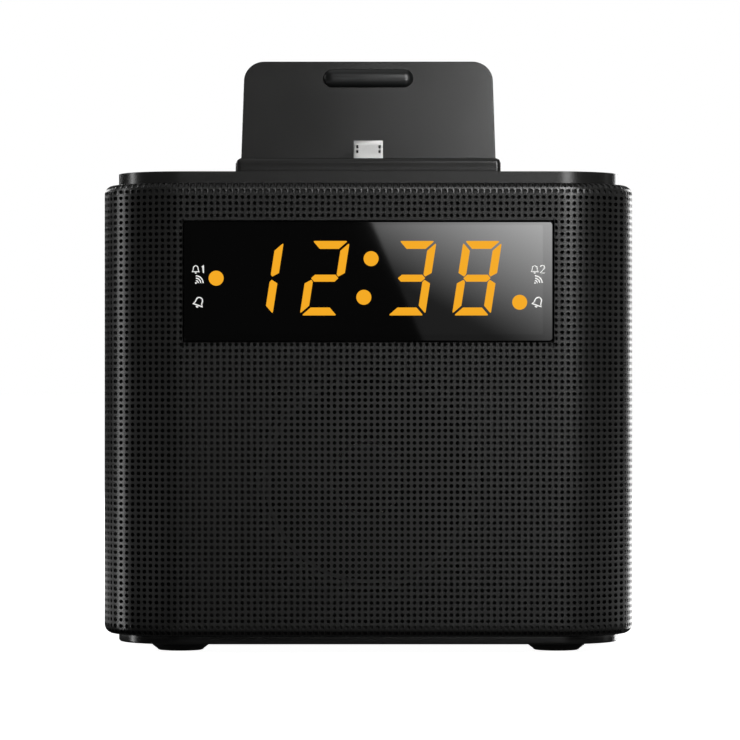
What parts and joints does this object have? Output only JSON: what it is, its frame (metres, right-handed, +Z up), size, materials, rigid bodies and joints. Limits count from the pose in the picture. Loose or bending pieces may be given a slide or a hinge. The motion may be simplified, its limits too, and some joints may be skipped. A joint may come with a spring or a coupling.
{
  "type": "clock radio",
  "caption": "Rounded clock radio wrapped in a perforated grille, with an amber digital display and a phone dock on top.",
  "frame": {"origin": "middle of the overall box, on the surface that the feet stand on", "axes": "+Z up, longest side; +Y towards the back, shortest side; +X to the right as the listener sees it; the display faces -Y"},
  "size_m": [0.1182, 0.096, 0.1355],
  "materials": {
    "grille_black": "satin black powder coat, perforated",
    "satin_black": "smooth satin black",
    "inner_black": "matt moulded",
    "rubber_black": "matt",
    "smoke_lens": "polished smoked acrylic",
    "amber_diffuser": "translucent amber, lit from behind",
    "board_green": "solder-masked board",
    "steel": "plated",
    "ferrite": "dull sintered ferrite",
    "paper_cone": "pressed black paper",
    "cell_sleeve": "plain printed sleeve, no text"
  },
  "bodies": {
    "radio": {"antenna_grommet": "rubber_black", "backrest": "satin_black", "backrest_brace": "satin_black", "backrest_pad": "rubber_black", "backup_cell_front": "cell_sleeve", "backup_cell_rear": "cell_sleeve", "base_plate": "satin_black", "base_screw_front_left": "steel", "base_screw_front_right": "steel", "base_screw_rear_left": "steel", "base_screw_rear_right": "steel", "battery_contact_left": "steel", "battery_contact_right": "steel", "dc_jack": "inner_black", "display_board": "board_green", "display_reflector": "inner_black", "display_window": "smoke_lens", "dock_platform": "satin_black", "foot_front_left": "rubber_black", "foot_front_right": "rubber_black", "foot_rear_left": "rubber_black", "foot_rear_right": "rubber_black", "front_cabinet": "inner_black", "key_board": "board_green", "main_board": "board_green", "plug_pin": "steel", "plug_spring": "steel", "rear_cover": "satin_black", "segment_light_guide": "amber_diffuser", "speaker_basket": "steel", "speaker_grille": "grille_black", "speaker_magnet": "ferrite", "speaker_pole_plate": "steel", "speaker_screw_1": "steel", "speaker_screw_2": "steel", "speaker_screw_3": "steel", "speaker_screw_4": "steel", "speaker_spider": "paper_cone", "speaker_surround": "rubber_black", "speaker_yoke": "steel", "top_panel": "satin_black", "usb_socket": "steel"},
    "snooze_bar": {"snooze_bar": "satin_black"},
    "alarm_1_button": {"alarm_1_button": "satin_black"},
    "alarm_2_button": {"alarm_2_button": "satin_black"},
    "tune_down_button": {"tune_down_button": "satin_black"},
    "tune_up_button": {"tune_up_button": "satin_black"},
    "volume_down_button": {"volume_down_button": "satin_black"},
    "volume_up_button": {"volume_up_button": "satin_black"},
    "set_time_button": {"set_time_button": "satin_black"},
    "radio_button": {"radio_button": "satin_black"},
    "battery_door": {"battery_door": "satin_black"},
    "cone": {"speaker_cone": "paper_cone", "speaker_dust_cap": "paper_cone"},
    "plug": {"plug_carrier": "inner_black", "plug_shell": "steel", "plug_tongue": "inner_black"}
  },
  "joints": [
    {"name": "snooze_bar_press", "type": "slide", "parent": "radio", "child": "snooze_bar", "axis": [0, 0, -1], "range_m": [0, 0.0008], "stiffness_N_per_m": 900, "springref_m": -0.0004},
    {"name": "alarm_1_button_press", "type": "slide", "parent": "radio", "child": "alarm_1_button", "axis": [0, 0, -1], "range_m": [0, 0.0008], "stiffness_N_per_m": 900, "springref_m": -0.0004},
    {"name": "alarm_2_button_press", "type": "slide", "parent": "radio", "child": "alarm_2_button", "axis": [0, 0, -1], "range_m": [0, 0.0008], "stiffness_N_per_m": 900, "springref_m": -0.0004},
    {"name": "tune_down_button_press", "type": "slide", "parent": "radio", "child": "tune_down_button", "axis": [0, 0, -1], "range_m": [0, 0.0008], "stiffness_N_per_m": 900, "springref_m": -0.0004},
    {"name": "tune_up_button_press", "type": "slide", "parent": "radio", "child": "tune_up_button", "axis": [0, 0, -1], "range_m": [0, 0.0008], "stiffness_N_per_m": 900, "springref_m": -0.0004},
    {"name": "volume_down_button_press", "type": "slide", "parent": "radio", "child": "volume_down_button", "axis": [0, 0, -1], "range_m": [0, 0.0008], "stiffness_N_per_m": 900, "springref_m": -0.0004},
    {"name": "volume_up_button_press", "type": "slide", "parent": "radio", "child": "volume_up_button", "axis": [0, 0, -1], "range_m": [0, 0.0008], "stiffness_N_per_m": 900, "springref_m": -0.0004},
    {"name": "set_time_button_press", "type": "slide", "parent": "radio", "child": "set_time_button", "axis": [0, 0, -1], "range_m": [0, 0.0008], "stiffness_N_per_m": 900, "springref_m": -0.0004},
    {"name": "radio_button_press", "type": "slide", "parent": "radio", "child": "radio_button", "axis": [0, 0, -1], "range_m": [0, 0.0008], "stiffness_N_per_m": 900, "springref_m": -0.0004},
    {"name": "battery_door_slide", "type": "slide", "parent": "radio", "child": "battery_door", "axis": [0, 1, 0], "range_m": [0, 0.03]},
    {"name": "cone_travel", "type": "slide", "parent": "radio", "child": "cone", "axis": [0, -1, 0], "range_m": [-0.0008, 0.0008], "stiffness_N_per_m": 600, "deforming": ["speaker_surround", "speaker_spider"]},
    {"name": "plug_rock", "type": "hinge", "parent": "radio", "child": "plug", "pos_m": [0, -0.00426, 0.1056], "axis": [1, 0, 0], "range_deg": [0, 8], "stiffness_Nm_per_rad": 0.02, "springref_deg": -11.46}
  ]
}
